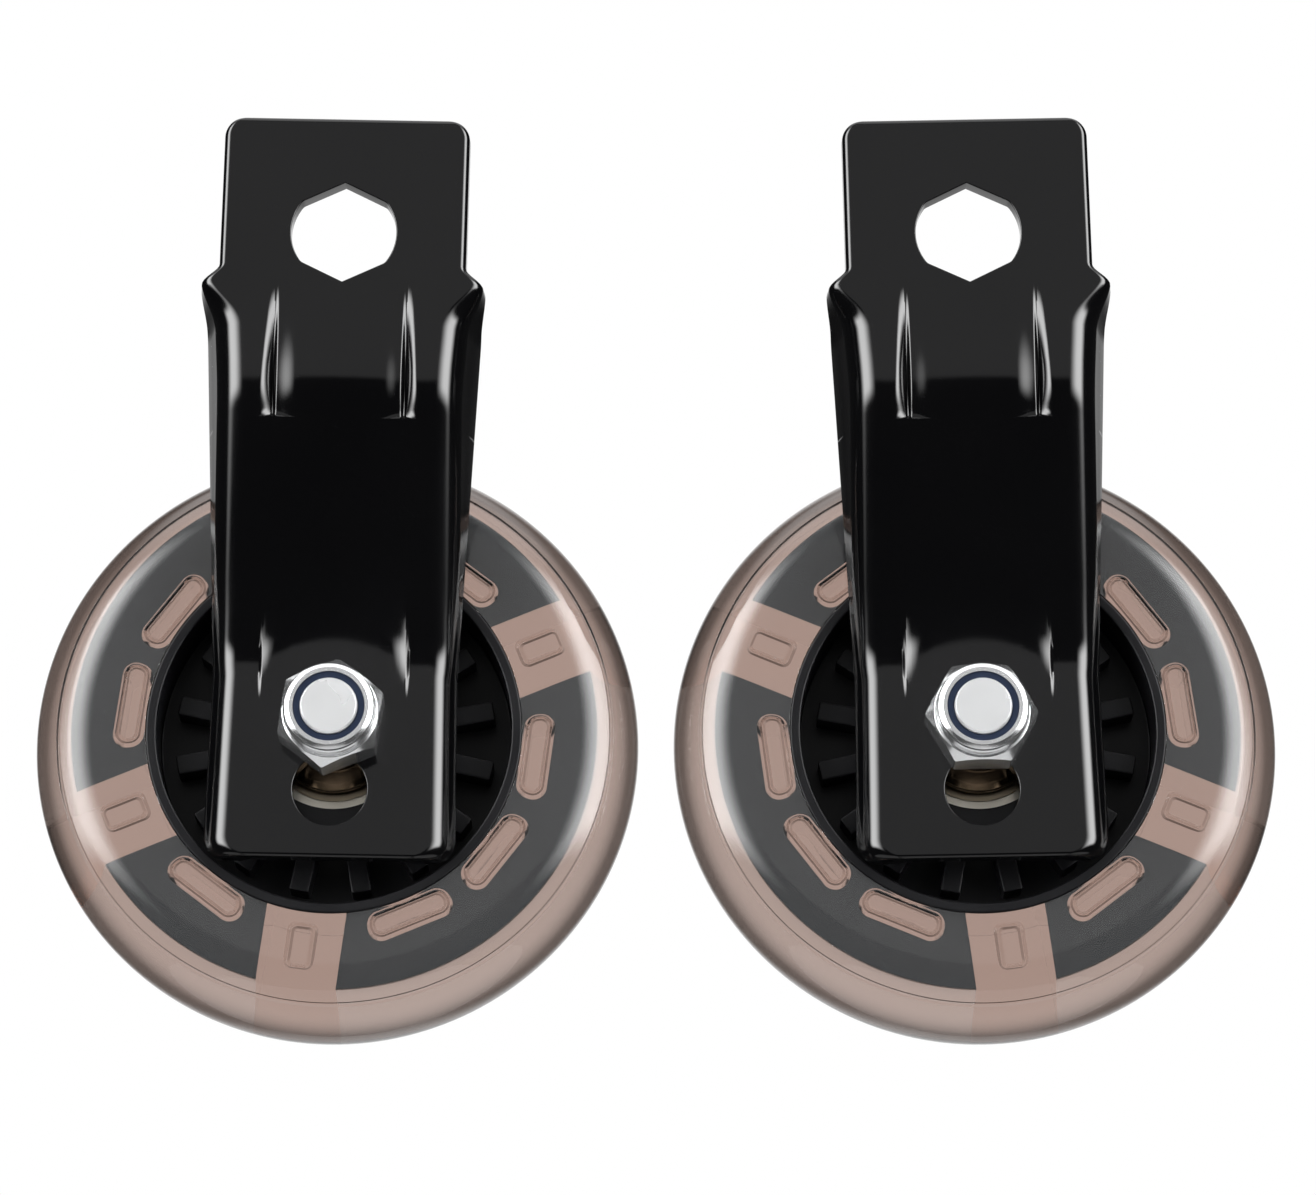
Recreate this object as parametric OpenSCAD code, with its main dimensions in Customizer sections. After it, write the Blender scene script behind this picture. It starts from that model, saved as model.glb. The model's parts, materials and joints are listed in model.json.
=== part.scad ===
// A pair of bolt-on training wheels for a kick scooter.
// Each unit is a pressed-steel Z bracket that carries a 100 mm wheel on an M10 bolt.
// The right unit is the mirror image of the left one.
// A unit is drawn with its axle along Y at the origin and the lower pad's front face at y = 0.

/* [Pair] */
// Distance between the two axles
axle_pitch = 105.8; // [104.5:0.1:140]
// Lean of each unit, tops towards each other, in degrees
lean = 1.1; // [0:0.1:2]

/* [Bracket sheet] */
// Thickness of the pressed sheet
sheet_t = 3.2; // [2.6:0.1:3.6]
// How far the top pad stands in front of the lower pad
pad_offset = 16; // [12:0.5:20]
// Height of the top edge above the axle
top_z = 99.2; // [95:0.1:110]
// Depth of the bottom edge below the axle
bottom_drop = 22.7; // [21:0.1:24]
// Height of the lower bend above the axle, at the sides
low_bend_z = 10.5; // [9:0.5:13]
// Height of the lower bend above the axle, in the middle over the nut
low_bend_mid_z = 16; // [15.9:0.1:18]
// Height of the upper bend above the axle
high_bend_z = 53.2; // [51:0.5:56]

/* [Bracket outline] */
// Width of the top pad
top_pad_w = 40.7; // [38:0.1:42]
// Corner radius of the top pad
top_corner_r = 3.4; // [2:0.1:5]
// Width across the shoulders
shoulder_w = 45.9; // [44:0.1:48]
// Height of the shoulders above the axle
shoulder_z = 70; // [68:0.5:71]
// Height over which the shoulders run into the top pad
shoulder_ramp = 3.4; // [3:0.1:6]
// How far each shoulder bulges out past the straight side
shoulder_bulge = 0.5; // [0:0.1:0.8]
// Width just above the lower pad
waist_w = 40.2; // [39:0.1:41]
// Width of the lower pad at its bottom
bottom_w = 41.2; // [40:0.1:42]
// Corner radius of the lower pad
bottom_corner_r = 3.5; // [2.5:0.1:4.5]

/* [Bracket flanges] */
// Depth of the folded edge at the lower pad
low_flange_depth = 4; // [3.8:0.1:4.2]
// Depth of the flange at the shoulders
shoulder_flange_depth = 12; // [10:0.5:14]
// Height over which the flange fades out below the shoulder
flange_fade = 7; // [5:0.5:9]
// Outer radius of the fold along the sides
fold_r = 4.4; // [4.2:0.1:4.6]
// Outer radius of the edge round the top pad
pad_edge_r = 1.2; // [0.8:0.1:1.5]
// Angle of the fold at the waist, in degrees
waist_fold = 62; // [60:1:65]
// Angle of the fold at the shoulders, in degrees
shoulder_fold = 73; // [70:1:76]

/* [Bracket gussets] */
// Distance of the upper gusset dents from the middle
dent_x = 10.8; // [10.4:0.1:11]
// Half width of a dent at its round lower end
dent_half_w = 1.5; // [1.2:0.1:1.6]
// Height of a dent's pointed top above the axle
dent_top_z = 71.3; // [69:0.1:72]
// Height of a dent's round lower end above the axle
dent_end_z = 47.7; // [46:0.1:49]
// Depth of a dent at its lower end
dent_depth = 2; // [1:0.1:2.4]
// Distance of the lower gusset ribs from the middle
rib_x = 11.7; // [11.3:0.1:12]
// Height of a lower rib's top above the axle
rib_top_z = 17.6; // [16:0.1:19]
// Height of a lower rib's foot above the axle
rib_foot_z = 2.6; // [1:0.1:4]

/* [Bracket holes] */
// Height of the hexagonal hole above the axle
hex_hole_z = 79.1; // [78.8:0.1:84]
// Radius of the hexagonal hole's round sides
hex_hole_r = 8.66; // [8:0.02:8.8]
// Slope of the hexagonal hole's two roofs, in degrees
hex_roof_slope = 26; // [22:1:30]
// Radius of the bolt hole
bolt_hole_r = 5.2; // [5.1:0.05:5.5]
// Radius of the large hole below the axle
low_hole_r = 6.1; // [5.5:0.1:6.5]
// Distance of the large hole below the axle
low_hole_drop = 11.3; // [11:0.1:12]
// Width of the neck that joins the two lower holes
neck_w = 7; // [5:0.5:8]

/* [Bolt and nut] */
// Radius of the bolt
bolt_r = 5; // [4.9:0.01:5]
// Turn of the left unit's lock nut, in degrees
left_nut_turn = 37; // [0:1:60]
// Turn of the right unit's lock nut, in degrees
right_nut_turn = 0; // [0:1:60]
// Width across the flats of the nut and the bolt head
across_flats = 16; // [15.6:0.1:18]
// Height of the lock nut
nut_h = 10; // [9:0.1:11]
// Height of the nut's hexagon
nut_hex_h = 7.2; // [6:0.1:7.5]
// Radius of the nut's round collar
nut_collar_r = 7.1; // [6.8:0.1:7.4]
// Outer radius of the nylon ring in the nut
nylon_r = 5.85; // [5.6:0.05:6]
// How far the bolt's end stands out of the nut
bolt_end = 0.4; // [0:0.1:1.5]
// Height of the bolt head
head_h = 6.4; // [6:0.1:7]
// Thickness of the washer under the bolt head
washer_t = 2; // [1.5:0.1:2.5]
// Radius of the washer under the bolt head
washer_r = 10; // [9.5:0.1:10.5]

/* [Spacer] */
// Length of the spacer between the bracket and the bearing
spacer_l = 4.8; // [4.6:0.1:6]
// Radius of the spacer's neck
spacer_neck_r = 7.7; // [7:0.1:8]
// Radius of the spacer's flange
spacer_flange_r = 10.3; // [9.5:0.1:10.6]
// Radius of the spacer's nose on the bearing
spacer_nose_r = 7; // [6.8:0.1:7.2]

/* [Bearings] */
// Outer radius of a bearing
bearing_r = 13; // [13:0.1:13.2]
// Width of a bearing
bearing_w = 8; // [8:0.1:8.4]
// Gap between the two bearings
bearing_gap = 2; // [1.6:0.1:3]
// Outer radius of the inner ring
inner_ring_r = 7.35; // [7.2:0.05:7.4]
// Bore radius of the outer ring
outer_ring_bore_r = 10.7; // [10.6:0.05:10.8]
// Diameter of a ball
ball_d = 4.76; // [4.6:0.02:4.8]
// Number of balls in a bearing
ball_count = 7; // [5:1:7]

/* [Wheel core] */
// Outer radius of the hub boss
boss_r = 16.2; // [15.5:0.1:17]
// Width of the hub boss
boss_w = 21; // [19.4:0.1:22]
// Thickness of the web in the middle of the wheel
web_t = 3; // [2:0.1:4]
// Number of ribs on each side of the web
spoke_count = 16; // [12:1:18]
// Thickness of a rib
spoke_t = 3.3; // [2.5:0.1:3.6]
// Gap between the ribs' ends and the barrel
spoke_gap = 2.7; // [1.5:0.1:4]
// Width over the ribs of both sides
spoke_w = 13; // [11:0.1:15]
// Outer radius of the barrel
barrel_r = 30.9; // [27:0.1:34]
// Wall thickness of the barrel
barrel_t = 1.7; // [1.4:0.1:2.2]
// Width of the core inside the tyre
core_w = 21; // [18:0.1:22.4]
// Width of a clear window in the core
window_w = 13.2; // [12:0.1:13.6]
// Distance of the slots from the barrel
slot_gap = 0.3; // [0.3:0.1:0.6]
// Radial width of a slot at its mouth
slot_w = 5.2; // [4.8:0.1:5.4]
// Length of a slot at its mouth
slot_l = 14.6; // [13:0.1:14.8]
// How far a slot's walls lean in by the middle of the core
slot_draft = 1.2; // [0.8:0.1:1.4]

/* [Tyre] */
// Radius of the wheel
wheel_r = 50; // [45:0.5:51]
// Depth of clear tyre between the core's rim and the tread
tread_depth = 6.8; // [6:0.1:8]
// Width of the wheel
wheel_w = 24; // [23.6:0.1:24.2]
// Depth of the moulded frame in each clear window
frame_groove = 0.5; // [0.3:0.1:0.6]
// Turn of the slot pattern from straight down, in degrees
pattern_turn = -6.4; // [-15:0.1:15]

/* [Hidden] */
UNIT_PARTS = ["bracket", "axle_bolt", "lock_nut", "nut_insert", "stepped_spacer",
    "head_washer", "bearing_spacer", "front_inner_ring", "front_outer_ring", "front_balls",
    "front_cage", "front_shields", "rear_inner_ring", "rear_outer_ring", "rear_balls",
    "rear_cage", "rear_shields", "wheel_core", "tyre"];
$fn = 96;

// Clearance of a turned piece on the bolt, and of a ball in its grooves
fit = 0.01;
ball_fit = 0.05;
// Amount by which a cut runs past a face
over = 1;

// Positions along the axle, from the lower pad's front face
spacer_y = sheet_t;
front_bearing_y = spacer_y + spacer_l;
wheel_y = front_bearing_y + bearing_w + bearing_gap / 2;
rear_bearing_y = wheel_y + bearing_gap / 2;
washer_y = rear_bearing_y + bearing_w;
head_y = washer_y + washer_t;
rear_y = head_y + head_h;
bolt_tip_y = -nut_h - bolt_end;
// Radii of the core's and the tyre's inner forms, from the barrel, the boss and the wheel
barrel_bore_r = barrel_r - barrel_t;
spoke_end_r = barrel_bore_r - spoke_gap;
core_r = wheel_r - tread_depth;
slot_pitch_r = barrel_r + slot_gap + slot_w / 2;
frame_l = 0.6 * (core_r - barrel_r);
frame_r = barrel_r + 0.37 * (core_r - barrel_r);
// Shift that centres the pair between its front and rear faces
centre_y = (pad_offset - rear_y) / 2;

function lerp(a, b, t) = a + (b - a) * t;
function clamp01(t) = min(1, max(0, t));
function ease(t) = clamp01(t) * clamp01(t) * (3 - 2 * clamp01(t));

// Bracket form: horizontal sections stacked along Z
low_bend_half_mid = 6;
low_bend_half_side = 3;
high_bend_half = 4;
waist_z = low_bend_z - 2.5;
ramp_top_z = shoulder_z + shoulder_ramp;
edge_lip = 0.12;
inner_fold_min = 0.1;
pad_fold = 88;
bottom_z = -bottom_drop;
dent_end_run = 1.4;
bulge_run = 4.8;

// A line that turns from level to a slope of one over a rounded bend
function bend(z, z_bend, half) =
    z < z_bend - half ? 0
    : z > z_bend + half ? z - z_bend
    : (z - z_bend + half) * (z - z_bend + half) / (4 * half);

// Front face; the lower bend arches up towards the middle, so that the nut sits flat
function arch(x) = max(0, 1 - x * x / (rib_x * rib_x));
function face_y(x, z) =
    let (z_low = lerp(low_bend_z, low_bend_mid_z, arch(x)),
        half = lerp(low_bend_half_side, low_bend_half_mid, arch(x)))
    -pad_offset / (high_bend_z - z_low) * (bend(z, z_low, half) - bend(z, high_bend_z, high_bend_half));

// How far up the mid-section and how far into the shoulder ramp a section lies
function rise(z) = clamp01((z - waist_z) / (shoulder_z - waist_z));
function ramp(z) = ease((z - shoulder_z) / shoulder_ramp);
function bulge(z) = shoulder_bulge * ease(1 - (shoulder_z - z) / bulge_run);
function fade(z) = ease((z - shoulder_z + flange_fade) / (flange_fade + shoulder_ramp));
function corner_in(z) =
    z > top_z - top_corner_r ? top_corner_r - sqrt(max(0, pow(top_corner_r, 2) - pow(z - top_z + top_corner_r, 2)))
    : z < bottom_z + bottom_corner_r
    ? bottom_corner_r - sqrt(max(0, pow(bottom_corner_r, 2) - pow(bottom_z + bottom_corner_r - z, 2)))
    : 0;
function half_w(z) =
    (z < waist_z ? lerp(bottom_w, waist_w, (z - bottom_z) / (waist_z - bottom_z)) / 2
    : lerp(lerp(waist_w, shoulder_w, rise(z)) + 2 * bulge(z), top_pad_w, ramp(z)) / 2) - corner_in(z);
function flange_depth(z) =
    lerp(lerp(low_flange_depth, shoulder_flange_depth - pad_offset, rise(z)) - face_y(rib_x, z),
        sheet_t + edge_lip, fade(z));
function fold_radius(z) = lerp(min(fold_r, low_flange_depth * 1.1), pad_edge_r, fade(z));
function fold_angle(z) = lerp(lerp(waist_fold, shoulder_fold, rise(z)), pad_fold, fade(z));

// Upper dents are pressed in, lower ribs stand out; both bridge their bend in a straight line
function dent_floor(z) =
    lerp(face_y(dent_x, dent_end_z) + dent_depth, face_y(dent_x, dent_top_z),
        (z - dent_end_z) / (dent_top_z - dent_end_z));
function dent_round(z) =
    sqrt(1 - pow(1 - clamp01((z - dent_end_z) / dent_end_run), 2));
function dent_in(z) =
    z <= dent_end_z || z >= dent_top_z ? 0
    : max(0, dent_floor(z) - face_y(dent_x, z)) * dent_round(z);
function rib_ridge(z) =
    lerp(0, face_y(rib_x, rib_top_z), (z - rib_foot_z) / (rib_top_z - rib_foot_z));
function rib_out(z) =
    z <= rib_foot_z || z >= rib_top_z ? 0 : max(0, face_y(rib_x, z) - rib_ridge(z));
function gusset(z) = dent_in(z) - rib_out(z);
function gusset_x(z) = lerp(rib_x, dent_x, clamp01((z - rib_top_z) / (dent_end_z - rib_top_z)));
function gusset_half(z) =
    dent_half_w * (z > dent_end_z ? lerp(1, 0.35, clamp01((z - dent_end_z) / (dent_top_z - dent_end_z)))
    : lerp(0.35, 1, clamp01((z - bottom_z) / (rib_foot_z - bottom_z))));

// Points of the flat part from the middle outwards: [x, y shift]
gusset_steps = [[-1, 0], [-0.6, 0.7], [0, 1], [0.6, 0.7], [1, 0]];
function flat_points(z) = concat([[0, 0], [5, 0]],
    [for (s = gusset_steps) [gusset_x(z) + s[0] * gusset_half(z), s[1] * gusset(z)]]);

fold_steps = 4;
function outer_half(z) =
    let (w = half_w(z), e = flange_depth(z), a = fold_angle(z), r = fold_radius(z),
        y0 = face_y(rib_x, z), f = w - r * sin(a) - (e - r * (1 - cos(a))) / tan(a))
    concat([for (p = flat_points(z)) [p[0], face_y(p[0], z) + p[1]]],
        [for (i = [0:fold_steps]) let (t = a * i / fold_steps)
            [f + r * sin(t), y0 + r * (1 - cos(t))]],
        [[w, y0 + e]]);
function inner_half(z) =
    let (w = half_w(z), e = flange_depth(z), a = fold_angle(z),
        r = max(fold_radius(z) - sheet_t, inner_fold_min),
        y0 = face_y(rib_x, z), skin = sheet_t / sin(a),
        c = w - skin - (e - sheet_t - r * (1 - cos(a))) / tan(a) - r * sin(a))
    concat([for (p = flat_points(z)) [p[0], face_y(p[0], z) + p[1] + sheet_t]],
        [for (i = [0:fold_steps]) let (t = a * i / fold_steps)
            [c + r * sin(t), y0 + sheet_t + r * (1 - cos(t))]],
        [[w - skin, y0 + e]]);
function backwards(list) = [for (i = [len(list) - 1:-1:0]) list[i]];
function flipped(list) = [for (p = list) [-p[0], p[1]]];
function without_first(list) = [for (i = [1:len(list) - 1]) list[i]];
function ring(z) =
    let (o = outer_half(z), n = inner_half(z))
    [for (p = concat(backwards(flipped(without_first(o))), o, backwards(n), flipped(without_first(n))))
        [p[0], p[1], z]];

function span(a, b, n) = [for (i = [0:n - 1]) lerp(a, b, i / n)];
corner_steps = 4;
mid_low_z = low_bend_mid_z + low_bend_half_mid;
stations = concat(
    [for (i = [0:corner_steps - 1]) bottom_z + bottom_corner_r * (1 - cos(90 * (i + 0.6) / corner_steps))],
    span(bottom_z + bottom_corner_r, rib_foot_z, 2),
    span(rib_foot_z, rib_top_z, 8),
    span(rib_top_z, mid_low_z, 2),
    span(mid_low_z, dent_end_z, 4),
    span(dent_end_z, dent_end_z + dent_end_run, 3),
    span(dent_end_z + dent_end_run, shoulder_z - flange_fade, 5),
    span(shoulder_z - flange_fade, shoulder_z, 5),
    span(shoulder_z, ramp_top_z, 4),
    [ramp_top_z],
    [for (i = [0:corner_steps]) top_z - top_corner_r + top_corner_r * sin(90 * (i - 0.2 * (i / corner_steps)) / corner_steps)]);

// A closed loft through rings of equal length; a ring's first half faces its second half
module loft(rings) {
    count = len(rings);
    n = len(rings[0]);
    points = [for (r = rings) for (p = r) p];
    sides = [for (k = [0:count - 2]) for (i = [0:n - 1])
        let (j = (i + 1) % n, a = k * n + i, b = k * n + j)
        each [[a, b + n, b], [a, a + n, b + n]]];
    last = (count - 1) * n;
    strip = [for (i = [0:n / 2 - 2]) each [[i, i + 1, n - 2 - i], [i, n - 2 - i, n - 1 - i]]];
    low_cap = [for (f = strip) if (f[1] != f[2]) f];
    high_cap = [for (f = low_cap) [last + f[0], last + f[2], last + f[1]]];
    polyhedron(points = points, faces = concat(sides, low_cap, high_cap), convexity = 10);
}

// Holds a unit's pieces, drawn about its own axle, at the left or the right place
module placed(side) {
    at = [-axle_pitch / 2, centre_y, wheel_r];
    if (side == "left_") {
        translate(at) rotate([0, lean, 0]) children();
    } else {
        mirror([1, 0, 0]) translate(at) rotate([0, lean, 0]) children();
    }
}

// Turns a shape drawn along Z so that it runs along Y from y0
module along_y(y0) {
    translate([0, y0, 0]) rotate([-90, 0, 0]) children();
}

// A straight hole through the sheet, seen from the front
module drill(r, z) {
    translate([0, 0, z]) along_y(-pad_offset - over) cylinder(r = r, h = pad_offset + 2 * sheet_t + 2 * over);
}

module hex_hole() {
    roof_tip = hex_hole_r - 0.05;
    roof_side = roof_tip - hex_hole_r * tan(hex_roof_slope);
    intersection() {
        drill(hex_hole_r, hex_hole_z);
        translate([0, 0, hex_hole_z]) along_y(-pad_offset - over)
            linear_extrude(height = sheet_t + 2 * over)
                polygon([for (s = [1, -1]) each [[s * hex_hole_r, -s * roof_side], [s * hex_hole_r, s * roof_side],
                    [0, s * roof_tip]]]);
    }
}

module bracket() {
    color([0.03, 0.03, 0.035]) difference() {
        loft([for (z = stations) ring(z)]);
        hex_hole();
        drill(bolt_hole_r, 0);
        drill(low_hole_r, -low_hole_drop);
        translate([-neck_w / 2, -over, -low_hole_drop]) cube([neck_w, sheet_t + 2 * over, low_hole_drop]);
    }
}

// A solid of revolution about the axle; profile points are [radius, y]
module turned(profile) {
    along_y(0) rotate_extrude() polygon(profile);
}

// A hexagonal bar along the axle with both rims of one end taken off
module hex_bar(y0, h, chamfer_end, turn) {
    corner_r = across_flats / 2 / cos(30);
    chamfer = 0.9;
    bevel_r = across_flats / 2 - 0.2;
    low_r = chamfer_end == "front" ? bevel_r : corner_r;
    high_r = chamfer_end == "front" ? corner_r : bevel_r;
    intersection() {
        along_y(y0) rotate([0, 0, turn]) cylinder(r = corner_r, h = h, $fn = 6);
        turned([[0, y0], [low_r, y0], [corner_r + over, y0 + (chamfer_end == "front" ? chamfer : 0)],
            [corner_r + over, y0 + h - (chamfer_end == "front" ? 0 : chamfer)], [high_r, y0 + h], [0, y0 + h]]);
    }
}

module axle_bolt() {
    tip_chamfer = 0.65;
    color([0.72, 0.74, 0.76]) {
        turned([[0, bolt_tip_y], [bolt_r - tip_chamfer, bolt_tip_y], [bolt_r, bolt_tip_y + tip_chamfer],
            [bolt_r, head_y], [0, head_y]]);
        hex_bar(head_y, head_h, "rear", 0);
    }
}

nylon_top = nut_h - 0.4;
nylon_foot = nut_hex_h + 0.2;
nut_mouth_r = nylon_r - 0.15;
module lock_nut(turn) {
    crown = 0.8;
    color([0.75, 0.77, 0.79]) difference() {
        union() {
            hex_bar(-nut_hex_h, nut_hex_h, "front", turn);
            turned([[0, -nut_hex_h - crown], [0, -nut_h], [nut_collar_r - crown, -nut_h],
                [nut_collar_r - crown * 0.3, -nut_h + crown * 0.3], [nut_collar_r, -nut_h + crown],
                [nut_collar_r, -nut_hex_h], [0, -nut_hex_h]]);
        }
        turned([[0, over], [bolt_r + fit, over], [bolt_r + fit, -nylon_foot], [nylon_r + fit, -nylon_foot],
            [nylon_r + fit, -nylon_top], [nut_mouth_r, -nylon_top], [nut_mouth_r, -nut_h - over],
            [0, -nut_h - over]]);
    }
}

module nut_insert() {
    color([0.05, 0.1, 0.25]) turned([[bolt_r + fit, -nylon_top], [nylon_r, -nylon_top], [nylon_r, -nylon_foot],
        [bolt_r + fit, -nylon_foot]]);
}

module stepped_spacer() {
    neck_l = 1.3;
    nose_l = 0.8;
    rim_w = 1.2;
    shoulder_r = spacer_neck_r + 0.4;
    color([0.62, 0.56, 0.46]) turned([[bolt_r + fit, spacer_y], [spacer_neck_r, spacer_y],
        [spacer_neck_r, spacer_y + neck_l], [shoulder_r, spacer_y + neck_l],
        [spacer_flange_r, front_bearing_y - nose_l - rim_w], [spacer_flange_r, front_bearing_y - nose_l],
        [spacer_nose_r, front_bearing_y - nose_l], [spacer_nose_r, front_bearing_y],
        [bolt_r + fit, front_bearing_y]]);
}

module head_washer() {
    color([0.72, 0.74, 0.76]) turned([[bolt_r + fit, washer_y], [washer_r, washer_y], [washer_r, head_y],
        [bolt_r + fit, head_y]]);
}

module bearing_spacer() {
    color([0.7, 0.7, 0.7]) turned([[bolt_r + fit, front_bearing_y + bearing_w],
        [inner_ring_r - 0.2, front_bearing_y + bearing_w], [inner_ring_r - 0.2, rear_bearing_y],
        [bolt_r + fit, rear_bearing_y]]);
}

// Bearings: inner ring, outer ring, balls in a cage and two pressed shields
ball_pitch_r = (bolt_r + bearing_r) / 2;
ball_r = ball_d / 2;
shield_recess = 0.4;
shield_t = 0.4;
shield_seat_r = outer_ring_bore_r + 0.7;
shield_gap = 0.15;

module ball_track(y0) {
    along_y(y0 + bearing_w / 2) rotate_extrude() translate([ball_pitch_r, 0]) circle(r = ball_r + ball_fit);
}

module inner_ring(y0) {
    color([0.78, 0.76, 0.7]) difference() {
        turned([[bolt_r + fit, y0], [inner_ring_r, y0], [inner_ring_r, y0 + bearing_w], [bolt_r + fit, y0 + bearing_w]]);
        ball_track(y0);
    }
}

module outer_ring(y0) {
    seat = shield_recess + shield_t;
    color([0.85, 0.82, 0.74]) difference() {
        turned([[shield_seat_r, y0], [bearing_r, y0], [bearing_r, y0 + bearing_w], [shield_seat_r, y0 + bearing_w],
            [shield_seat_r, y0 + bearing_w - seat], [outer_ring_bore_r, y0 + bearing_w - seat],
            [outer_ring_bore_r, y0 + seat], [shield_seat_r, y0 + seat]]);
        ball_track(y0);
    }
}

module ball_ring(r) {
    for (i = [0:ball_count - 1]) rotate([0, 360 * i / ball_count, 0]) translate([ball_pitch_r, 0, 0]) sphere(r = r);
}

module balls(y0) {
    color([0.8, 0.8, 0.8]) translate([0, y0 + bearing_w / 2, 0]) ball_ring(ball_r);
}

module cage(y0) {
    half_l = bearing_w / 2 - shield_recess - shield_t - 0.2;
    half_t = 0.6;
    mid = y0 + bearing_w / 2;
    color([0.66, 0.6, 0.5]) difference() {
        turned([[ball_pitch_r - half_t, mid - half_l], [ball_pitch_r + half_t, mid - half_l],
            [ball_pitch_r + half_t, mid + half_l], [ball_pitch_r - half_t, mid + half_l]]);
        for (i = [0:ball_count - 1]) rotate([0, 360 * i / ball_count, 0])
            translate([ball_pitch_r - 2 * half_t, mid, 0]) rotate([0, 90, 0])
                cylinder(r = ball_r + ball_fit, h = 4 * half_t);
    }
}

module shields(y0) {
    color([0.6, 0.54, 0.42])
        for (y = [y0 + shield_recess, y0 + bearing_w - shield_recess - shield_t])
            turned([[inner_ring_r + shield_gap, y], [shield_seat_r, y], [shield_seat_r, y + shield_t],
                [inner_ring_r + shield_gap, y + shield_t]]);
}

// Wheel pattern: twelve places, four of them clear windows and eight of them slots
places = 12;
window_places = [0, 4, 6, 10];
slot_places = [1, 2, 3, 5, 7, 8, 9, 11];

// Turns a shape drawn on the local X axis to a place of the pattern
module at_place(k) {
    rotate([0, 90 - pattern_turn - 360 * k / places, 0]) children();
}

// Outline with round corners, as points [along, across]
function rounded(l, w, r, n = 4) =
    [for (c = [[1, 1, 0], [-1, 1, 90], [-1, -1, 180], [1, -1, 270]]) for (i = [0:n])
        let (a = c[2] + 90 * i / n)
        [c[0] * (l / 2 - r) + r * cos(a), c[1] * (w / 2 - r) + r * sin(a)]];

// One section of a slot, bent round the axle
function slot_ring(z, inset) =
    [for (p = rounded(slot_l - 2 * inset, slot_w - 2 * inset, 0.45 * (slot_w - 2 * inset)))
        let (a = p[0] / slot_pitch_r * 180 / PI, r = slot_pitch_r + p[1])
        [r * cos(a), -r * sin(a), z]];

module slot() {
    reach = core_w / 2 + over;
    out = -slot_draft * over / (core_w / 2);
    along_y(wheel_y) loft([slot_ring(-reach, out), slot_ring(0, slot_draft), slot_ring(reach, out)]);
}

// The part of the core that is buried in the tyre
module core_flange() {
    root_r = (barrel_bore_r + barrel_r) / 2;
    difference() {
        turned([[root_r, wheel_y - core_w / 2], [core_r, wheel_y - core_w / 2], [core_r, wheel_y + core_w / 2],
            [root_r, wheel_y + core_w / 2]]);
        for (k = window_places) at_place(k)
            translate([boss_r, wheel_y - wheel_w / 2, -window_w / 2]) cube([core_r, wheel_w, window_w]);
        for (k = slot_places) at_place(k) slot();
    }
}

module spokes() {
    for (i = [0:spoke_count - 1]) rotate([0, 360 * (i + 0.5) / spoke_count, 0])
        translate([boss_r - 1, wheel_y - spoke_w / 2, -spoke_t / 2])
            cube([spoke_end_r - boss_r + 1, spoke_w, spoke_t]);
}

module wheel_core() {
    shoulder_r = bearing_r - 1.4;
    hub_side = [[shoulder_r, bearing_gap / 2], [bearing_r + fit, bearing_gap / 2], [bearing_r + fit, boss_w / 2],
        [boss_r, boss_w / 2], [boss_r, web_t / 2], [barrel_bore_r, web_t / 2], [barrel_bore_r, wheel_w / 2],
        [barrel_r, wheel_w / 2]];
    color([0.07, 0.07, 0.075]) {
        turned(concat([for (p = hub_side) [p[0], wheel_y - p[1]]],
            [for (p = backwards(hub_side)) [p[0], wheel_y + p[1]]]));
        spokes();
        core_flange();
    }
}

module window_frame() {
    line_w = 0.6;
    frame_w = 5.2;
    corner = 1.2;
    for (y = [wheel_y - wheel_w / 2 - over, wheel_y + wheel_w / 2 - frame_groove])
        translate([frame_r, 0, 0]) along_y(y) linear_extrude(height = over + frame_groove) difference() {
            polygon(rounded(frame_l, frame_w, corner));
            polygon(rounded(frame_l - 2 * line_w, frame_w - 2 * line_w, corner - line_w / 2));
        }
}

module tyre() {
    tread_r = wheel_w / 2;
    tread_steps = 24;
    color([0.55, 0.45, 0.4, 0.5]) difference() {
        turned(concat([[barrel_r, wheel_y - wheel_w / 2]],
            [for (i = [0:tread_steps]) let (a = -90 + 180 * i / tread_steps)
                [wheel_r - tread_r + tread_r * cos(a), wheel_y + tread_r * sin(a)]],
            [[barrel_r, wheel_y + wheel_w / 2]]));
        core_flange();
        for (k = window_places) at_place(k) window_frame();
    }
}

for (side = ["left_", "right_"]) {
    placed(side) bracket();
    placed(side) axle_bolt();
    placed(side) lock_nut(side == "left_" ? left_nut_turn : right_nut_turn);
    placed(side) nut_insert();
    placed(side) stepped_spacer();
    placed(side) head_washer();
    placed(side) bearing_spacer();
    placed(side) inner_ring(front_bearing_y);
    placed(side) outer_ring(front_bearing_y);
    placed(side) balls(front_bearing_y);
    placed(side) cage(front_bearing_y);
    placed(side) shields(front_bearing_y);
    placed(side) inner_ring(rear_bearing_y);
    placed(side) outer_ring(rear_bearing_y);
    placed(side) balls(rear_bearing_y);
    placed(side) cage(rear_bearing_y);
    placed(side) shields(rear_bearing_y);
    placed(side) wheel_core();
    placed(side) tyre();
}
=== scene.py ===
import json
import math
import bmesh
import bpy
from mathutils import Matrix, Vector


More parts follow.
